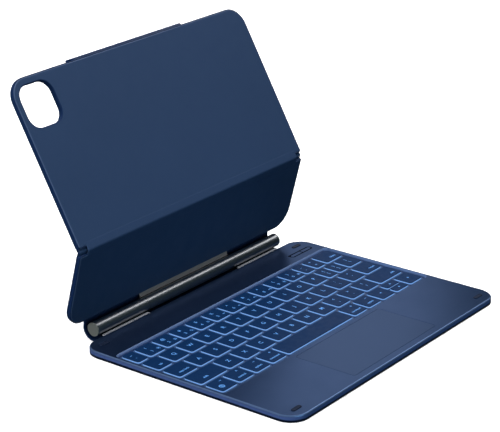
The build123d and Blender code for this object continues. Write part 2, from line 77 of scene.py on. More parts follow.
hinge_y, hinge_z = joint_place("cover_hinge")
fold_y, fold_z = joint_place("fold_hinge")
strap_y, strap_z = joint_place("strap_hinge")
lower_lean, upper_tilt = math.radians(14.7), math.radians(60.3)
panel_thickness = 4.2
panel_corner, fold_corner, fold_gap = 15.0, 1.6, 3.0
deck_top = box_mm("top_case")[1].z

# ---------------------------------------------------------------- meshes


def upper(x, v, d):
    """A point of the upper panel."""
    return (x, fold_y + v * math.cos(upper_tilt) - d * math.sin(upper_tilt),
            fold_z + v * math.sin(upper_tilt) + d * math.cos(upper_tilt))


def lower(x, v, d):
    """A point of the lower panel, where v is negative."""
    return (x, fold_y - v * math.sin(lower_lean) - d * math.cos(lower_lean),
            fold_z + v * math.cos(lower_lean) - d * math.sin(lower_lean))


def make(name, points, faces, materials, slots=None):
    """A smooth-shaded mesh object with its faces turned outwards."""
    mesh = bpy.data.meshes.new(name)
    mesh.from_pydata([Vector(p) * MM for p in points], [], faces)
    for material in materials:
        mesh.materials.append(material)
    for polygon in mesh.polygons:
        polygon.use_smooth = True
        polygon.material_index = slots[polygon.index] if slots else 0
    work = bmesh.new()
    work.from_mesh(mesh)
    bmesh.ops.recalc_face_normals(work, faces=work.faces)
    work.to_mesh(mesh)
    work.free()
    piece = bpy.data.objects.new(name, mesh)
    bpy.context.scene.collection.objects.link(piece)
    return piece


def flatten_shading(piece):
    """Keeps broad faces flat while small roundings stay smooth."""
    modifier = piece.modifiers.new("even", "WEIGHTED_NORMAL")
    modifier.keep_sharp = True
    modifier.weight = 100


def outline(left, right, low, high, radii, inset, steps=8):
    """A rounded rectangle as points, with a radius for each corner from (right, low) round."""
    corners = ((right, low, -90), (right, high, 0), (left, high, 90), (left, low, 180))
    points = []
    for (x, y, start), radius in zip(corners, radii):
        sign_x, sign_y = (1 if x == right else -1), (1 if y == high else -1)
        reach = max(radius - inset, 0.02)
        center_x = x - sign_x * (inset + reach)
        center_y = y - sign_y * (inset + reach)
        for step in range(steps + 1):
            angle = math.radians(start + 90 * step / steps)
            points.append((center_x + reach * math.cos(angle), center_y + reach * math.sin(angle)))
    return points


def loft(rings):
    """Points and side faces of rings of equal length, each joined to the next."""
    points = [point for ring in rings for point in ring]
    count = len(rings[0])
    faces = []
    for ring in range(len(rings) - 1):
        for i in range(count):
            j = (i + 1) % count
            faces.append((ring * count + i, ring * count + j,
                          (ring + 1) * count + j, (ring + 1) * count + i))
    return points, faces


def fill_between(outer, inner, place, depth):
    """Triangles of a flat face between two loops, as points and faces."""
    work = bmesh.new()
    edges = []
    for loop in (outer, inner):
        verts = [work.verts.new((x, y, 0)) for x, y in loop]
        edges += [work.edges.new((verts[i], verts[(i + 1) % len(verts)]))
                  for i in range(len(verts))]
    bmesh.ops.triangle_fill(work, use_beauty=True, use_dissolve=False, edges=edges)
    work.verts.index_update()
    points = [place(vert.co.x, vert.co.y, depth) for vert in work.verts]
    faces = [tuple(vert.index for vert in face.verts) for face in work.faces]
    work.free()
    return points, faces


def add(points, faces, more_points, more_faces):
    """Appends one list of points and faces to another."""
    start = len(points)
    points += more_points
    faces += [tuple(index + start for index in face) for face in more_faces]


def slab(name, place, sides, radii, profile, materials, slot_of, hole=None, hole_profile=None):
    """A panel lofted through (inset, depth) steps of its edge, with an optional hole."""
    loops = [outline(*sides, radii, inset) for inset, _ in profile]
    rings = [[place(x, y, depth) for x, y in loop] for loop, (_, depth) in zip(loops, profile)]
    points, faces = loft(rings)
    count = len(rings[0])
    slots = [slot_of(face // count) for face in range(len(faces))]
    if hole:
        hole_sides, hole_radius = hole
        hole_loops = [outline(*hole_sides, [hole_radius] * 4, inset) for inset, _ in hole_profile]
        hole_rings = [[place(x, y, depth) for x, y in loop]
                      for loop, (_, depth) in zip(hole_loops, hole_profile)]
        add(points, faces, *loft(hole_rings))
        slots += [1] * (len(faces) - len(slots))
        for end, slot in ((0, 0), (-1, 1)):
            add(points, faces, *fill_between(loops[end], hole_loops[end], place,
                                             profile[end][1]))
            slots += [slot] * (len(faces) - len(slots))
    else:
        last = len(points) - count
        faces.append(tuple(range(count)))
        faces.append(tuple(range(last, last + count)))
        slots += [0, 1]
    piece = make(name, points, faces, materials, slots)
    weld(piece)
    flatten_shading(piece)
    return piece


def weld(piece):
    """Joins points that lie on each other, so that shading runs across them."""
    work = bmesh.new()
    work.from_mesh(piece.data)
    bmesh.ops.remove_doubles(work, verts=work.verts, dist=1e-6)
    bmesh.ops.recalc_face_normals(work, faces=work.faces)
    work.to_mesh(piece.data)
    work.free()


def sweep(name, path, half_width, thickness, materials, end_radius=0.0, columns=1):
    """A skin of even thickness that follows a (y, z) path, straight along x, with rounded ends.

    A second material is for its front side.
    """
    tangents = []
    for i in range(len(path)):
        before, after = path[max(i - 1, 0)], path[min(i + 1, len(path) - 1)]
        span = math.hypot(after[0] - before[0], after[1] - before[1])
        tangents.append(((after[0] - before[0]) / span, (after[1] - before[1]) / span))
    far = [(y - t[1] * thickness, z + t[0] * thickness) for (y, z), t in zip(path, tangents)]
    section = list(path) + far[::-1]
    rings = []
    for column in range(columns + 1):
        x = -half_width + 2 * half_width * column / columns
        rings.append([(x, y, z) for y, z in section])
    points, faces = loft(rings)
    count = len(section)
    half = count // 2
    for end in (0, len(rings) - 1):
        for i in range(half - 1):
            faces.append((end * count + i, end * count + i + 1,
                          end * count + count - 2 - i, end * count + count - 1 - i))
    sides = len(faces) - 2 * (half - 1)
    front = [1 if i < sides and i % count >= half else 0 for i in range(len(faces))]
    piece = make(name, points, faces, materials, front if len(materials) > 1 else None)
    if end_radius:
        modifier = piece.modifiers.new("edge", "BEVEL")
        modifier.width = end_radius * MM
        modifier.segments = 3
        modifier.limit_method = "ANGLE"
        modifier.angle_limit = math.radians(50)
    return piece


def bent(start, apex, end, steps=12):
    """Points of a smooth bend between two (y, z) places, drawn towards an apex."""
    points = []
    for i in range(steps + 1):
        t = i / steps
        points.append(tuple((1 - t) ** 2 * a + 2 * t * (1 - t) * b + t * t * c
                            for a, b, c in zip(start, apex, end)))
    return points


# ---------------------------------------------------------------- materials


def nodes_of(name):
    """A new material, its node tree and its Principled shader."""
    material = bpy.data.materials.new(name)
    material.use_nodes = True
    tree = material.node_tree
    return material, tree, tree.nodes["Principled BSDF"]


def surface(name, color, roughness, metallic=0.0, variation=0.12, variation_scale=14.0,
            grain=0.15, grain_scale=2200.0, grain_depth=0.04, rough_range=0.06, coat=0.0,
            stretch=(1, 1, 1), pebble=False, specular=0.5, edge_tint=(1, 1, 1), painted_wall_light=None):
    """A finish with mottled colour, uneven roughness and a fine grain in its surface.

    A wall colour goes on upright faces, where the finish is matt; it is painted light, a lighter
    tone standing in for the light on the sides.
    """
    material, tree, shader = nodes_of(name)
    new, link = tree.nodes.new, tree.links.new
    place = new("ShaderNodeTexCoord")
    mapping = new("ShaderNodeMapping")
    mapping.inputs["Scale"].default_value = stretch
    link(place.outputs["Object"], mapping.inputs["Vector"])

    cloud = new("ShaderNodeTexNoise")
    cloud.inputs["Scale"].default_value = variation_scale
    cloud.inputs["Detail"].default_value = 4
    link(place.outputs["Object"], cloud.inputs["Vector"])
    tint = new("ShaderNodeMix")
    tint.data_type = "RGBA"
    dark = [channel * (1 - variation) for channel in color]
    light = [min(channel * (1 + variation), 1) for channel in color]
    tint.inputs["A"].default_value = (*dark, 1)
    tint.inputs["B"].default_value = (*light, 1)
    link(cloud.outputs["Fac"], tint.inputs["Factor"])
    link(tint.outputs["Result"], shader.inputs["Base Color"])
    shader.inputs["Metallic"].default_value = metallic
    if painted_wall_light:
        facing = new("ShaderNodeNewGeometry")
        upright = new("ShaderNodeSeparateXYZ")
        link(facing.outputs["Normal"], upright.inputs["Vector"])
        level = new("ShaderNodeMath")
        level.operation = "ABSOLUTE"
        link(upright.outputs["Z"], level.inputs[0])
        mask = new("ShaderNodeMapRange")
        mask.inputs["From Min"].default_value = 0.2
        mask.inputs["From Max"].default_value = 0.55
        mask.inputs["To Min"].default_value = 1
        mask.inputs["To Max"].default_value = 0
        link(level.outputs["Value"], mask.inputs["Value"])
        side = new("ShaderNodeMix")
        side.data_type = "RGBA"
        side.inputs["B"].default_value = (*painted_wall_light, 1)
        link(mask.outputs["Result"], side.inputs["Factor"])
        link(tint.outputs["Result"], side.inputs["A"])
        link(side.outputs["Result"], shader.inputs["Base Color"])
        gleam = new("ShaderNodeMapRange")
        gleam.inputs["To Min"].default_value = metallic
        gleam.inputs["To Max"].default_value = 0
        link(mask.outputs["Result"], gleam.inputs["Value"])
        link(gleam.outputs["Result"], shader.inputs["Metallic"])

    smudge = new("ShaderNodeTexNoise")
    smudge.inputs["Scale"].default_value = variation_scale * 5
    smudge.inputs["Detail"].default_value = 3
    link(place.outputs["Object"], smudge.inputs["Vector"])
    spread = new("ShaderNodeMapRange")
    spread.inputs["From Min"].default_value = 0.3
    spread.inputs["From Max"].default_value = 0.7
    spread.inputs["To Min"].default_value = roughness - rough_range
    spread.inputs["To Max"].default_value = roughness + rough_range
    link(smudge.outputs["Fac"], spread.inputs["Value"])
    link(spread.outputs["Result"], shader.inputs["Roughness"])

    if pebble:
        fine = new("ShaderNodeTexVoronoi")
        fine.inputs["Scale"].default_value = grain_scale
        height = fine.outputs["Distance"]
    else:
        fine = new("ShaderNodeTexNoise")
        fine.inputs["Scale"].default_value = grain_scale
        fine.inputs["Detail"].default_value = 2
        height = fine.outputs["Fac"]
    link(mapping.outputs["Vector"], fine.inputs["Vector"])
    bump = new("ShaderNodeBump")
    bump.inputs["Strength"].default_value = grain
    bump.inputs["Distance"].default_value = grain_depth * MM
    link(height, bump.inputs["Height"])
    link(bump.outputs["Normal"], shader.inputs["Normal"])

    shader.inputs["Specular IOR Level"].default_value = specular
    shader.inputs["Specular Tint"].default_value = (*edge_tint, 1)
    shader.inputs["Coat Weight"].default_value = coat
    shader.inputs["Coat Roughness"].default_value = 0.3
    return material


def glow(name, color, strength):
    """A lit plastic whose light is a little uneven."""
    material, tree, shader = nodes_of(name)
    new, link = tree.nodes.new, tree.links.new
    place = new("ShaderNodeTexCoord")
    cloud = new("ShaderNodeTexNoise")
    cloud.inputs["Scale"].default_value = 90
    link(place.outputs["Object"], cloud.inputs["Vector"])
    tint = new("ShaderNodeMix")
    tint.data_type = "RGBA"
    tint.inputs["A"].default_value = (*[channel * 0.8 for channel in color], 1)
    tint.inputs["B"].default_value = (*[min(channel * 1.2, 1) for channel in color], 1)
    link(cloud.outputs["Fac"], tint.inputs["Factor"])
    link(tint.outputs["Result"], shader.inputs["Emission Color"])
    shader.inputs["Emission Strength"].default_value = strength
    shader.inputs["Base Color"].default_value = (0.02, 0.05, 0.12, 1)
    shader.inputs["Roughness"].default_value = 0.5
    return material


lining = surface("soft_lining", (0.0200, 0.0405, 0.0925), 0.55, grain=0.25, grain_scale=1500,
                 pebble=True, grain_depth=0.03, variation=0.06, specular=0.2)
# A lighter tone on the rounded rim of the lining: a painted highlight along the panels' inner
# edges.
painted_rim_highlight = surface("painted_rim_highlight", (0.055, 0.085, 0.160), 0.5, grain=0.2, grain_scale=1500,
                     pebble=True, grain_depth=0.02, specular=0.2)
shell_skin = surface("soft_shell", (0.005, 0.016, 0.055), 0.5, grain=0.3, grain_scale=1200,
                     pebble=True, grain_depth=0.04, specular=0.25)
deck_skin = surface("underside_skin", (0.0012, 0.004, 0.014), 0.55, grain=0.35,
                    grain_scale=1200, pebble=True, grain_depth=0.04, specular=0.2)
# The case's upright walls take a lighter, matt tone: painted light standing in for the side light
# on them.
deck_metal = surface("navy_metal", (0.033, 0.066, 0.150), 0.30, metallic=0.9, variation=0.04,
                     grain=0.15, grain_scale=4200, grain_depth=0.006, rough_range=0.02,
                     edge_tint=(0.74, 0.80, 1.0), painted_wall_light=(0.046, 0.080, 0.212))
# A brighter metal on the case's chamfer, whose lighter colour is a painted highlight along its top
# edge.
painted_edge_highlight = surface("painted_edge_highlight", (0.13, 0.21, 0.40), 0.38, metallic=0.8, variation=0.04,
                      grain=0.1, grain_scale=4200, grain_depth=0.005, rough_range=0.03)
# A lighter tone on the key well's sloping wall: painted light for the light that wall catches.
painted_well_light = surface("painted_well_light", (0.065, 0.115, 0.245), 0.45, metallic=0.2, variation=0.04,
                    grain=0.1, grain_scale=4200, grain_depth=0.005, rough_range=0.03)
key_plastic = surface("key_plastic", (0.003, 0.018, 0.063), 0.42, variation=0.08,
                      variation_scale=40, grain=0.3, grain_scale=3000, grain_depth=0.012,
                      specular=0.06)
web_plastic = surface("web_plastic", (0.004, 0.016, 0.065), 0.5, grain=0.2, grain_scale=3000,
                      grain_depth=0.01, specular=0.3)
trackpad_glass = surface("trackpad_glass", (0.029, 0.058, 0.128), 0.28, metallic=0.9,
                         variation=0.02, grain=0.04, grain_scale=5000, grain_depth=0.001,
                         rough_range=0.006, edge_tint=(0.74, 0.80, 1.0))
gunmetal = surface("gunmetal", (0.33, 0.335, 0.345), 0.33, metallic=1.0, variation=0.02,
                   grain=0.03, grain_scale=5000, grain_depth=0.0005, rough_range=0.01)
cap_metal = surface("end_cap", (0.120, 0.130, 0.122), 0.5, metallic=0.2, variation=0.05,
                    grain=0.2, grain_scale=3000, grain_depth=0.008)
leaf_metal = surface("bronze_leaf", (0.235, 0.200, 0.190), 0.42, metallic=0.4, variation=0.05,
                     grain=0.2, grain_scale=900, grain_depth=0.006, stretch=(1, 12, 12))
bracket_metal = surface("bracket_metal", (0.28, 0.295, 0.33), 0.45, metallic=0.2,
                        variation=0.05, grain=0.2, grain_scale=900, grain_depth=0.006,
                        stretch=(1, 12, 12))
steel = surface("steel", (0.42, 0.43, 0.45), 0.33, metallic=1.0, grain=0.3, grain_scale=900,
                grain_depth=0.01, stretch=(1, 12, 12))
dark_plastic = surface("dark_plastic", (0.012, 0.014, 0.02), 0.42, grain=0.25, grain_depth=0.02)
rubber = surface("bumper_rubber", (0.006, 0.011, 0.027), 0.5, grain=0.4, grain_scale=1800,
                 grain_depth=0.02, specular=0.12)
board_green = surface("solder_mask", (0.02, 0.12, 0.06), 0.35, grain=0.2, coat=0.3)
foil = surface("battery_foil", (0.5, 0.5, 0.52), 0.4, metallic=0.8, grain=0.4,
               grain_scale=500, grain_depth=0.05)
clear_sheet = surface("clear_sheet", (0.55, 0.65, 0.75), 0.2, grain=0.05)
core_board = surface("core_board", (0.09, 0.09, 0.10), 0.6, grain=0.4, grain_scale=700)
marking = surface("marking", (0.001, 0.002, 0.007), 0.7, grain=0.1, specular=0.05)
skirt_glow = glow("skirt_glow", (0.20, 0.40, 0.82), 0.9)
web_glow = [glow(f"web_glow_{step}", (0.07, 0.22, 0.70), strength)
            for step, strength in enumerate((0.11, 0.045, 0.02))]
legend_glow = glow("legend_glow", (0.10, 0.33, 0.80), 0.9)


def darken_across(material, axis, start, stop, color):
    """Turns a finish to another colour between two places along an axis."""
    tree = material.node_tree
    new, link = tree.nodes.new, tree.links.new
    shader = tree.nodes["Principled BSDF"]
    source = shader.inputs["Base Color"].links[0].from_socket
    place = new("ShaderNodeTexCoord")
    split = new("ShaderNodeSeparateXYZ")
    link(place.outputs["Object"], split.inputs["Vector"])
    ramp = new("ShaderNodeMapRange")
    ramp.inputs["From Min"].default_value = start * MM
    ramp.inputs["From Max"].default_value = stop * MM
    link(split.outputs[axis], ramp.inputs["Value"])
    blend = new("ShaderNodeMix")
    blend.data_type = "RGBA"
    blend.inputs["B"].default_value = (*color, 1)
    link(ramp.outputs["Result"], blend.inputs["Factor"])
    link(source, blend.inputs["A"])
    link(blend.outputs["Result"], shader.inputs["Base Color"])


# The brackets keep their metal colour at the case's edge and are painted near black under the
# barrel: a painted shadow of the barrel.
darken_across(bracket_metal, "Y", hinge_y - 4.5, hinge_y - 4.0, (0.004, 0.005, 0.008))
# The case's walls turn near black towards the bottom, above the underside skin.
darken_across(deck_metal, "Z", 2.0, 1.7, (0.001, 0.003, 0.012))

finishes = {
    "top_case": deck_metal, "deck_skin": deck_skin, "bottom_plate": steel,
    "case_screws": steel, "key_web": web_plastic, "key_support_plate": steel,
    "light_guide": clear_sheet, "switch_membrane": clear_sheet, "dome_sheet": clear_sheet,
    "trackpad_plate": trackpad_glass, "trackpad_board": board_green,
    "trackpad_spring_plate": steel, "battery_cells": foil, "main_board": board_green,
    "usb_c_port": steel, "power_switch_body": dark_plastic, "power_switch_knob": dark_plastic,
    "indicator_window": deck_metal, "bumper_pads": rubber, "deck_hinge_brackets": bracket_metal,
    "hinge_end_barrels": gunmetal, "hinge_center_barrel": gunmetal,
    "barrel_end_caps": cap_metal, "hinge_shaft": steel, "friction_clips": steel,
    "cover_hinge_leaf": leaf_metal, "leaf_screws": steel, "lower_core": core_board,
    "upper_core": core_board, "tablet_magnets": steel, "strap_tail": shell_skin,
    "strap_magnet_bar": steel,
}
for node_name, finish in finishes.items():
    for slot in nodes[node_name].material_slots:
        slot.material = finish

# Metal and plastic edges that catch the light get a small real rounding.
rounded = {"top_case": 0.12, "cover_hinge_leaf": 0.15, "deck_hinge_brackets": 0.1,
           "trackpad_plate": 0.06}
for node_name, width in rounded.items():
    node = nodes[node_name]
    join = node.modifiers.new("join", "WELD")
    join.merge_threshold = 1e-6
    edge = node.modifiers.new("edge", "BEVEL")
    edge.width = width * MM
    edge.segments = 2
    edge.limit_method = "ANGLE"
    edge.angle_limit = math.radians(35)
    flatten_shading(node)

# ---------------------------------------------------------------- cover panels

# Edges as (inset, depth) steps: a lining with a raised rim, a groove, then the round shell.
edge_profile = [(1.7, 0.0), (1.25, -0.03), (0.98, -0.14), (0.84, -0.34), (0.8, -0.5),
                (0.62, -0.5), (0.58, -0.34), (0.42, -0.22), (0.22, -0.26), (0.06, -0.48),
                (0.0, -0.8), (0.0, -2.7), (0.08, -3.2), (0.35, -3.75), (0.85, -4.08),
                (1.5, -4.2)]
lining_steps = 4
hole_profile = [(-0.75, 0.0), (-0.35, -0.1), (-0.1, -0.32), (0.0, -0.65), (0.0, -3.6),
                (-0.12, -3.95), (-0.4, -4.14), (-0.75, -4.2)]
panel_half = box_mm("upper_outer_skin")[1].x
upper_length, lower_length = 124.5, 61.8
# The camera cut-out's (left, right, low, high) sides and its corner radius.
cut_out = ((-120.3, -88.7, 88.0, 118.6), 9.5)


def edge_slot(step):
    """The slot of an edge step: the lining, its rim, then the shell."""
    if step == 0:
        return 0
    return 2 if step < lining_steps else 1


upper_cover = slab("upper_cover_padding", upper, (-panel_half, panel_half, fold_gap, upper_length),
                   (fold_corner, panel_corner, panel_corner, fold_corner), edge_profile,
                   [lining, shell_skin, painted_rim_highlight], edge_slot, cut_out, hole_profile)
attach(upper_cover, "upper_cover")
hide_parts("upper_outer_skin", "upper_inner_skin")

lower_cover = slab("lower_cover_padding", lower,
                   (-panel_half, panel_half, -lower_length, -fold_gap),
                   (panel_corner, fold_corner, fold_corner, panel_corner), edge_profile,
                   [lining, shell_skin, painted_rim_highlight], edge_slot)
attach(lower_cover, "lower_cover")
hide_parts("lower_outer_skin", "lower_inner_skin")

skin_columns = 40  # columns across each swept skin, so that its edge stays even
# The skin at the fold: flush with both inner faces, bent sharply at the fold line.
fold_half, fold_thickness = box_mm("fold_hinge_skin")[1].x, 0.8
reach, proud, bend = 6.0, 0.03, 1.1
apex = tuple((a + b) / 2 for a, b in zip(lower(0, 0, proud)[1:], upper(0, 0, proud)[1:]))
fold_path = [lower(0, -reach * (8 - i) / 8 - bend * i / 8, proud)[1:] for i in range(8)]
fold_path += bent(lower(0, -bend, proud)[1:], apex, upper(0, bend, proud)[1:])
fold_path += [upper(0, bend + (reach - bend) * i / 8, proud)[1:] for i in range(1, 9)]
fold_skin = sweep("fold_skin", fold_path, fold_half, -fold_thickness, [lining],
                  end_radius=0.25, columns=skin_columns)
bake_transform(fold_skin)
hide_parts("fold_hinge_skin")

# The outer skin runs on across the fold behind the gap, full width.
back_d = -panel_thickness + 0.55
back_reach, back_bend, back_skin = 5.5, 2.4, 1.9
back_apex = tuple((a + b) / 2 for a, b in zip(lower(0, 0, back_d)[1:], upper(0, 0, back_d)[1:]))
back_span = back_reach - back_bend
back_path = [lower(0, -back_reach + i * back_span / 6, back_d)[1:] for i in range(6)]
back_path += bent(lower(0, -back_bend, back_d)[1:], back_apex, upper(0, back_bend, back_d)[1:])
back_path += [upper(0, back_bend + back_span * i / 6, back_d)[1:] for i in range(1, 7)]
fold_back = sweep("fold_back_skin", back_path, panel_half - 0.5, back_skin,
                  [shell_skin, lining], end_radius=0.15, columns=skin_columns)
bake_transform(fold_back)

# The spine: one skin from under the deck, round the hinge and up the lower panel's back.
spine_low, spine_high = box_mm("spine_skin")
spine_half, spine_thickness = spine_high.x, 0.9
spine_radius = hinge_z - spine_low.z
spine_path = [(spine_low.y + (hinge_y - spine_low.y) * i / 6, spine_low.z) for i in range(6)]
for i in range(31):
    angle = -math.pi / 2 + (math.pi / 2 + lower_lean) * i / 30
    spine_path.append((hinge_y + spine_radius * math.cos(angle),
                       hinge_z + spine_radius * math.sin(angle)))
back = panel_thickness + 0.1
start_v, top_v = -lower_length + 0.8, -lower_length + 8.0
out_y, out_z = math.cos(lower_lean), math.sin(lower_lean)
knee_y, knee_z = spine_path[-1]
end_y, end_z = lower(0, start_v, -back)[1:]
rise = (end_z - knee_z) * out_y - (end_y - knee_y) * out_z
step_out = (end_y - knee_y) * out_y + (end_z - knee_z) * out_z
for i in range(1, 9):
    t = i / 8
    ease = t * t * (3 - 2 * t)
    spine_path.append((knee_y - rise * t * out_z + step_out * ease * out_y,
                       knee_z + rise * t * out_y + step_out * ease * out_z))
spine_path += [lower(0, start_v + (top_v - start_v) * i / 4, -back)[1:] for i in range(1, 5)]
spine = sweep("spine_skin_wrap", spine_path, spine_half, spine_thickness, [shell_skin],
              end_radius=0.3, columns=skin_columns)
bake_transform(spine)
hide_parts("spine_skin")

# ---------------------------------------------------------------- closure strap

strap_half = box_mm("strap_skin")[1].x
strap_d = (strap_y - fold_y) * -math.sin(upper_tilt) + (strap_z - fold_z) * math.cos(upper_tilt)
strap_v = (strap_y - fold_y) * math.cos(upper_tilt) + (strap_z - fold_z) * math.sin(upper_tilt)
strap_reach, strap_round, strap_corner, strap_bend_corner = 27.2, 1.3, 3.0, 0.6
strap_profile = [(1.3, 1.3), (0.75, 1.22), (0.35, 0.95), (0.1, 0.55), (0.0, 0.0),
                 (0.1, -0.55), (0.35, -0.95), (0.75, -1.22), (1.3, -1.3)]
strap_profile = [(inset, strap_d + depth) for inset, depth in strap_profile]
strap = slab("strap_padding", upper,
             (-strap_half, strap_half, strap_v - strap_reach, strap_v + strap_round),
             (strap_corner, strap_bend_corner, strap_bend_corner, strap_corner),
             strap_profile, [shell_skin] * 3, edge_slot)
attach(strap, "strap")
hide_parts("strap_skin")

# The neck that joins the strap to the panel's edge, as (past the edge, depth) steps.
neck_steps = ((-1.0, -3.0), (0.1, -3.05), (0.9, -3.4), (1.35, -4.1), (1.45, -4.9), (1.35, -5.7))
neck_path = [upper(0, upper_length + past, depth)[1:] for past, depth in neck_steps]
neck_inset, neck_thickness = 2, 0.5
neck = sweep("strap_neck", neck_path, strap_half - neck_inset, neck_thickness, [shell_skin],
             columns=30)
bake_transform(neck)

# ---------------------------------------------------------------- keys

# A keycap's wall and dished top, and the lit skirt under it, as (z, inset) steps.
key_rings = [(4.07, 0.35), (4.07, 0.1), (4.12, 0.02), (4.2, 0.0), (4.42, 0.02), (4.51, 0.08),
             (4.57, 0.2), (4.597, 0.4), (4.6, 0.65), (4.594, 1.3), (4.575, 3.0)]
skirt_rings = [(4.08, 0.4), (4.08, 0.16), (3.9, 0.12), (3.4, 0.04), (3.38, 0.3)]
key_corner = 1.8


def key_boxes(node):
    """Each keycap's box, from points joined by edges or shared places. A stem stands inside its
    cap's hollow.
    """
    mesh = nodes[node].data
    parent = list(range(len(mesh.vertices)))
    seen = {}

    def root(i):
        while parent[i] != i:
            parent[i] = parent[parent[i]]
            i = parent[i]
        return i

    for vertex in mesh.vertices:
        key = tuple(round(c, 6) for c in vertex.co)
        if key in seen:
            parent[root(vertex.index)] = root(seen[key])
        else:
            seen[key] = vertex.index
    for edge in mesh.edges:
        parent[root(edge.vertices[0])] = root(edge.vertices[1])
    boxes = {}
    for vertex in mesh.vertices:
        x, y = vertex.co.x / MM, vertex.co.y / MM
        left, right, front, rear = boxes.get(root(vertex.index), (x, x, y, y))
        boxes[root(vertex.index)] = (min(left, x), max(right, x), min(front, y), max(rear, y))
    return sorted(boxes.values())


def capped(rings_z_inset, sides, cap_first, cap_last):
    """A keycap or skirt lofted through (z, inset) steps."""
    rings = [[(x, y, z) for x, y in outline(*sides, [key_corner] * 4, inset, steps=5)]
             for z, inset in rings_z_inset]
    points, faces = loft(rings)
    count = len(rings[0])
    if cap_first:
        faces.append(tuple(range(count)))
    if cap_last:
        last = len(points) - count
        faces.append(tuple(range(last, last + count)))
    return points, faces


def keycaps(name, boxes, body, node):
    """All the keycaps of one body as one piece, with their lit skirts."""
    points, faces, slots = [], [], []
    for sides in boxes:
        add(points, faces, *capped(key_rings, sides, False, True))
        slots += [0] * (len(faces) - len(slots))
        add(points, faces, *capped(skirt_rings, sides, True, False))
        slots += [1] * (len(faces) - len(slots))
    piece = make(name, points, faces, [key_plastic, skirt_glow], slots)
    flatten_shading(piece)
    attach(piece, body)
    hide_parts(node)


key_rows = {
    "number_keys": ["`~", "1!", "2@", "3#", "4$", "5%", "6^", "7&", "8*", "9(", "0)", "-_", "=+"],
    "top_row_keys": ["Q", "W", "E", "R", "T", "Y", "U", "I", "O", "P", "[{", "]}", "\\|"],
    "home_row_keys": ["A", "S", "D", "F", "G", "H", "J", "K", "L", ";:", "'\""],
    "bottom_row_keys": ["Z", "X", "C", "V", "B", "N", "M", ",<", ".>", "/?"],
}
key_words = {
    "backspace": "delete", "tab": "tab", "caps_lock": "caps lock", "return": "return",
    "shift_left": "shift", "shift_right": "shift", "control": "control",
    "option_left": "option", "option_right": "option", "command_left": "command",
    "command_right": "command",
}
modifier_marks = {"control": "^", "option_left": "~", "option_right": "~",
                  "command_left": "+", "command_right": "+"}
arrow_turns = {"arrow_left": 90, "arrow_up": 0, "arrow_down": 180, "arrow_right": -90}
legend_z = 4.6
glyph_size, small_size, word_size = 4.6, 3.6, 2.7
glyph_weight = 0.07


def glyph(text, x, y, size, z):
    """Flat text as points and faces, centred on a place."""
    curve = bpy.data.curves.new("glyph", "FONT")
    curve.body = text
    curve.size = size * MM
    curve.align_x, curve.align_y = "CENTER", "CENTER"
    curve.resolution_u = 3
    curve.offset = glyph_weight * MM
    holder = bpy.data.objects.new("glyph", curve)
    bpy.context.scene.collection.objects.link(holder)
    bpy.context.view_layer.update()
    mesh = bpy.data.meshes.new_from_object(holder)
    points = [(x + v.co.x / MM, y + v.co.y / MM, z) for v in mesh.vertices]
    faces = [tuple(polygon.vertices) for polygon in mesh.polygons]
    bpy.data.objects.remove(holder)
    bpy.data.curves.remove(curve)
    bpy.data.meshes.remove(mesh)
    return points, faces


def disc(x, y, radius, z, sides=16):
    """A small round dot."""
    ring = []
    for i in range(sides):
        angle = math.tau * i / sides
        ring.append((x + radius * math.cos(angle), y + radius * math.sin(angle), z))
    return ring, [tuple(range(sides))]


def arc_band(x, y, inner, outer, z, start=0, stop=360, sides=24):
    """A flat ring or part of one."""
    points, faces = [], []
    for i in range(sides + 1):
        angle = math.radians(start + (stop - start) * i / sides)
        for radius in (inner, outer):
            points.append((x + radius * math.cos(angle), y + radius * math.sin(angle), z))
    for i in range(sides):
        faces.append((2 * i, 2 * i + 1, 2 * i + 3, 2 * i + 2))
    return points, faces


def bar(x, y, length, width, z, angle=0):
    """A flat straight stroke."""
    cos, sin = math.cos(math.radians(angle)), math.sin(math.radians(angle))
    corners = ((-1, -1), (1, -1), (1, 1), (-1, 1))
    points = [(x + a * length / 2 * cos - b * width / 2 * sin,
               y + a * length / 2 * sin + b * width / 2 * cos, z) for a, b in corners]
    return points, [(0, 1, 2, 3)]


def triangle(x, y, size, z, turn):
    """A flat arrowhead that points up at turn 0."""
    points = []
    for angle in (90, 210, 330):
        at = math.radians(angle + turn)
        points.append((x + size * math.cos(at), y + size * math.sin(at), z))
    return points, [(0, 1, 2)]


def function_icon(kind, x, y, z):
    """A plain drawn mark for a number key's second use."""
    points, faces = [], []
    if kind == 0:
        add(points, faces, *disc(x, y, 0.75, z))
        for ray in range(8):
            at = math.radians(45 * ray)
            add(points, faces, *bar(x + 1.4 * math.cos(at), y + 1.4 * math.sin(at), 0.6, 0.3, z,
                                    45 * ray))
    elif kind == 1:
        for column in (-1, 1):
            for line in (-1, 1):
                add(points, faces, *bar(x + 0.65 * column, y + 0.65 * line, 0.9, 0.9, z))
    elif kind == 2:
        add(points, faces, *arc_band(x - 0.2, y + 0.2, 0.75, 1.1, z))
        add(points, faces, *bar(x + 0.95, y - 0.95, 1.1, 0.35, z, -45))
    elif kind == 3:
        for line in (-1, 0, 1):
            add(points, faces, *bar(x, y + 0.8 * line, 2.2, 0.35, z))
    elif kind == 4:
        for side in (-0.6, 0.6):
            add(points, faces, *triangle(x + side, y, 0.8, z, -90))
    else:
        add(points, faces, *triangle(x - 0.6, y, 0.9, z, 90))
        for wave in range(kind - 4):
            add(points, faces, *arc_band(x, y, 0.6 + 0.6 * wave, 0.85 + 0.6 * wave, z, -50, 50, 8))
    return points, faces


def legends(name, parts, body):
    """Lit marks on one body's keys as one piece."""
    points, faces = [], []
    for more_points, more_faces in parts:
        add(points, faces, more_points, more_faces)
    piece = make(name, points, faces, [legend_glow])
    for polygon in piece.data.polygons:
        polygon.use_smooth = False
        if polygon.normal.z < 0:
            polygon.flip()
    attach(piece, body)


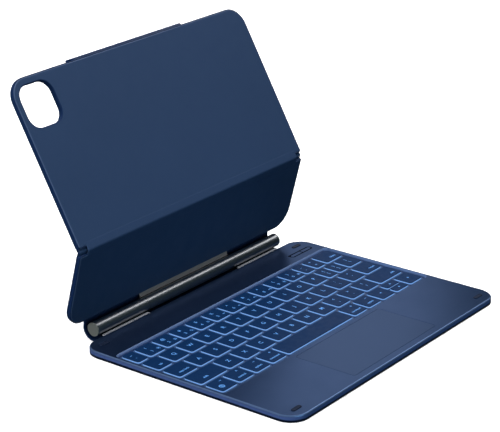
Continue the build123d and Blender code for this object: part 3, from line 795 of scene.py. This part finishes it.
# Marks lie just over the caps: in the dish, or on the rim where they stand near an edge. The
# columns and rows are shares of a cap's width and depth.
all_boxes = []
lift, rim_lift, dish = 0.008, 0.003, 0.025
mark_column, icon_column = 0.41, 0.82
upper_mark, lower_mark, icon_row = 0.32, 0.71, 0.72
shift_mark_up, base_mark_down = 2.6, 2.2
for node_name, marks in key_rows.items():
    boxes = key_boxes(node_name)
    all_boxes += boxes
    keycaps(f"{node_name}_caps", boxes, f"{node_name}_body", node_name)
    parts = []
    for column, (sides, mark) in enumerate(zip(boxes, marks)):
        x, y = (sides[0] + sides[1]) / 2, (sides[2] + sides[3]) / 2
        z = legend_z - dish + lift
        if node_name == "number_keys":
            z = legend_z + rim_lift
            width, depth = sides[1] - sides[0], sides[3] - sides[2]
            x = sides[0] + mark_column * width
            parts.append(glyph(mark[1], x, sides[3] - upper_mark * depth, small_size, z))
            parts.append(glyph(mark[0], x, sides[3] - lower_mark * depth, small_size, z))
            if 0 < column < len(marks) - 2:
                parts.append(function_icon((column - 1) % 8, sides[0] + icon_column * width,
                                           sides[3] - icon_row * depth, z))
        elif len(mark) == 2:
            parts.append(glyph(mark[1], x, y + shift_mark_up, small_size, z))
            parts.append(glyph(mark[0], x, y - base_mark_down, small_size, z))
        else:
            parts.append(glyph(mark, x, y, glyph_size, z))
    legends(f"{node_name}_legends", parts, f"{node_name}_body")

word_line, word_margin, letter_width = 4.6, 2.4, 0.27
corner_right, corner_down, globe_shift = 3.2, 4.0, 2.4
shift_column, arrow_size = 0.36, 1.15
for node_name in sorted(nodes):
    if not node_name.startswith("key_") or node_name in ("key_web", "key_support_plate"):
        continue
    key = node_name[len("key_"):]
    boxes = key_boxes(node_name)
    all_boxes += boxes
    keycaps(f"{node_name}_cap", boxes, f"{key}_key", node_name)
    left, right, front, rear = boxes[0]
    x, y = (left + right) / 2, (front + rear) / 2
    z = legend_z + lift
    if key in key_words:
        word = key_words[key]
        half = len(word) * word_size * letter_width
        if key == "shift_left":
            place = (left + shift_column * (right - left), front + word_line)
        elif key in ("backspace", "return", "shift_right"):
            place = (right - word_margin - half, front + word_line)
        else:
            place = (x, front + word_line)
        parts = [glyph(word, *place, word_size, z)]
        if key in modifier_marks:
            parts.append(glyph(modifier_marks[key], x + corner_right, rear - corner_down,
                               small_size, z))
        legends(f"{node_name}_legend", parts, f"{key}_key")
    elif key in arrow_turns:
        arrow = triangle(x, y, arrow_size, z, arrow_turns[key])
        legends(f"{node_name}_legend", [arrow], f"{key}_key")
    elif key == "globe":
        ball_x, ball_y = x - globe_shift, y - globe_shift
        parts = [arc_band(ball_x, ball_y, 1.7, 2.2, z), bar(ball_x, ball_y, 3.8, 0.5, z),
                 bar(ball_x, ball_y, 3.8, 0.5, z, 90), bar(ball_x, ball_y + 1.0, 3.1, 0.4, z),
                 bar(ball_x, ball_y - 1.0, 3.1, 0.4, z),
                 bar(x + corner_right, rear - corner_down, 2.0, 0.5, z)]
        legends(f"{node_name}_legend", parts, f"{key}_key")

# Light that spills on the web round each key, weaker further out.
spill_lift = 0.012
spill_z = box_mm("key_web")[1].z + spill_lift
spill = [-0.06, -0.42, -0.8, -1.2]
points, faces, slots = [], [], []
for sides in all_boxes:
    rings = [[(x, y, spill_z) for x, y in outline(*sides, [key_corner] * 4, inset, steps=5)]
             for inset in spill]
    ring_points, ring_faces = loft(rings)
    count = len(rings[0])
    add(points, faces, ring_points, ring_faces)
    slots += [face // count for face in range(len(ring_faces))]
web_light = make("key_light_spill", points, faces, web_glow, slots)
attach(web_light, "deck")

# ---------------------------------------------------------------- status marks on the deck

window_low, window_high = box_mm("indicator_window")
ring_z = deck_top + 0.01
divider_x, dot_x, dot_radius = 104.5, 91.6, 1.2
sides = (window_low.x, window_high.x, window_low.y, window_high.y)
half_height = (window_high.y - window_low.y) / 2
loops = [[(x, y, ring_z) for x, y in outline(*sides, [half_height] * 4, inset, steps=10)]
         for inset in (-0.25, 1.0)]
points, faces = loft(loops)
middle_y = (window_low.y + window_high.y) / 2
add(points, faces, *bar(divider_x, middle_y, 1.0, 2 * half_height - 0.5, ring_z))
add(points, faces, *disc(dot_x, window_high.y - 0.8, dot_radius, ring_z + 0.004))
status_marks = make("status_marks", points, faces, [marking])
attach(status_marks, "deck")

# ---------------------------------------------------------------- painted light on the case's edges and key well

case_low, case_high = box_mm("top_case")
case_sides = (case_low.x, case_high.x, case_low.y, case_high.y)
case_corner, chamfer_size, lift_out = 14.0, 0.8, 0.012
# How far the bands stand off the case, and how far they reach past its edges.
band_rise, lip, lip_rise, drop = 0.008, 0.1, 0.006, 0.12
well_corner, well_gap, web_gap, web_rise = 3.4, 0.05, 0.032, 0.03


def ring_trim(name, sides, radius, steps, material):
    """A narrow band round an outline, through (inset, z) steps."""
    rings = [[(x, y, z) for x, y in outline(*sides, [radius] * 4, inset, steps=16)]
             for inset, z in steps]
    points, faces = loft(rings)
    piece = make(name, points, faces, [material])
    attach(piece, "deck")


# A painted highlight on the chamfer and the top of the case's walls.
ring_trim("case_edge_highlight_band", case_sides, case_corner,
          [(-band_rise, deck_top - chamfer_size - drop), (-lift_out, deck_top - chamfer_size),
           (chamfer_size - lift_out, deck_top + band_rise),
           (chamfer_size + lip, deck_top + lip_rise)], painted_edge_highlight)
web_low, web_high = box_mm("key_web")
well_sides = (web_low.x - well_gap, web_high.x + well_gap,
              web_low.y - well_gap, web_high.y + well_gap)
# The key well's sloping wall, painted lighter where it catches the light.
ring_trim("key_well_light_band", well_sides, well_corner,
          [(-chamfer_size - lip, deck_top + lip_rise),
           (lift_out - chamfer_size, deck_top + band_rise),
           (web_gap, web_high.z + web_rise)], painted_well_light)

# ---------------------------------------------------------------- floor, light and camera

floor_half, floor_z = 6, -0.0003
floor_mesh = bpy.data.meshes.new("floor")
floor_mesh.from_pydata([(x * floor_half, y * floor_half, floor_z)
                        for x, y in ((-1, -1), (1, -1), (1, 1), (-1, 1))], [], [(0, 1, 2, 3)])
floor = bpy.data.objects.new("floor", floor_mesh)
bpy.context.scene.collection.objects.link(floor)
floor_material, _, floor_shader = nodes_of("floor")
floor_shader.inputs["Base Color"].default_value = (0.92, 0.92, 0.92, 1)
floor_shader.inputs["Roughness"].default_value = 0.9
floor_shader.inputs["Emission Color"].default_value = (1, 1, 1, 1)
floor_shader.inputs["Emission Strength"].default_value = 0.5
floor_mesh.materials.append(floor_material)
floor.visible_diffuse = floor.visible_glossy = False

world = bpy.data.worlds.new("studio")
bpy.context.scene.world = world
world.use_nodes = True
sky, sky_link = world.node_tree.nodes, world.node_tree.links
ray = sky.new("ShaderNodeTexCoord")
split = sky.new("ShaderNodeSeparateXYZ")
sky_link.new(ray.outputs["Generated"], split.inputs["Vector"])
fade = sky.new("ShaderNodeMapRange")
fade.inputs["From Min"].default_value = 0.3
fade.inputs["From Max"].default_value = 0.9
fade.inputs["To Min"].default_value = 0.02
fade.inputs["To Max"].default_value = 0.3
sky_link.new(split.outputs["Z"], fade.inputs["Value"])
sky_link.new(fade.outputs["Result"], sky["Background"].inputs["Strength"])
sky["Background"].inputs["Color"].default_value = (0.68, 0.86, 1.0, 1)


def softbox(name, place, target, size, power, color=(1, 1, 1)):
    """A large area light turned towards a point."""
    light = bpy.data.lights.new(name, "AREA")
    light.shape = "RECTANGLE"
    light.size, light.size_y = size
    light.energy = power
    light.color = color
    lamp = bpy.data.objects.new(name, light)
    bpy.context.scene.collection.objects.link(lamp)
    lamp.location = place
    lamp.rotation_euler = (Vector(target) - Vector(place)).to_track_quat("-Z", "Y").to_euler()
    return lamp


center = (0, 0.02, 0.05)
softbox("overhead", (-0.1, -0.1, 1.8), center, (0.9, 0.9), 35,
        (1.0, 0.94, 0.90)).visible_glossy = False
softbox("left", (-1.8, 0.2, 0.35), center, (0.9, 0.9), 33).visible_glossy = False
softbox("front_fill", (-0.4, -1.7, 0.25), center, (1.0, 1.0), 12, (0.5, 0.85, 1.0))
softbox("behind_right", (0.50, 0.37, 0.34), (-0.02, -0.06, 0), (0.34, 0.26), 0.32)
softbox("barrel_strip", (1.0, 0.0, 1.15), center, (0.75, 0.85), 5.6)
softbox("rear_left_high", (-0.7, 1.1, 1.4), center, (0.9, 0.9), 1.8)
softbox("rear", (0.5, 2.0, 0.8), center, (1.2, 1.2), 42).visible_glossy = False

camera_data = bpy.data.cameras.new("camera")
camera_data.sensor_width = 36
camera_data.lens = 134.44
camera_data.clip_start, camera_data.clip_end = 0.05, 30
camera = bpy.data.objects.new("camera", camera_data)
bpy.context.scene.collection.objects.link(camera)
camera.location = (-0.9727, -0.7050, 0.5430)
camera.rotation_mode = "QUATERNION"
heading, nod, roll = (math.radians(angle) for angle in (-52.53, 69.04, -0.23))
turn = (Matrix.Rotation(heading, 3, "Z") @ Matrix.Rotation(nod, 3, "X")
        @ Matrix.Rotation(roll, 3, "Z"))
camera.rotation_quaternion = turn.to_quaternion()
bpy.context.scene.camera = camera
bpy.context.scene.view_settings.view_transform = "Standard"
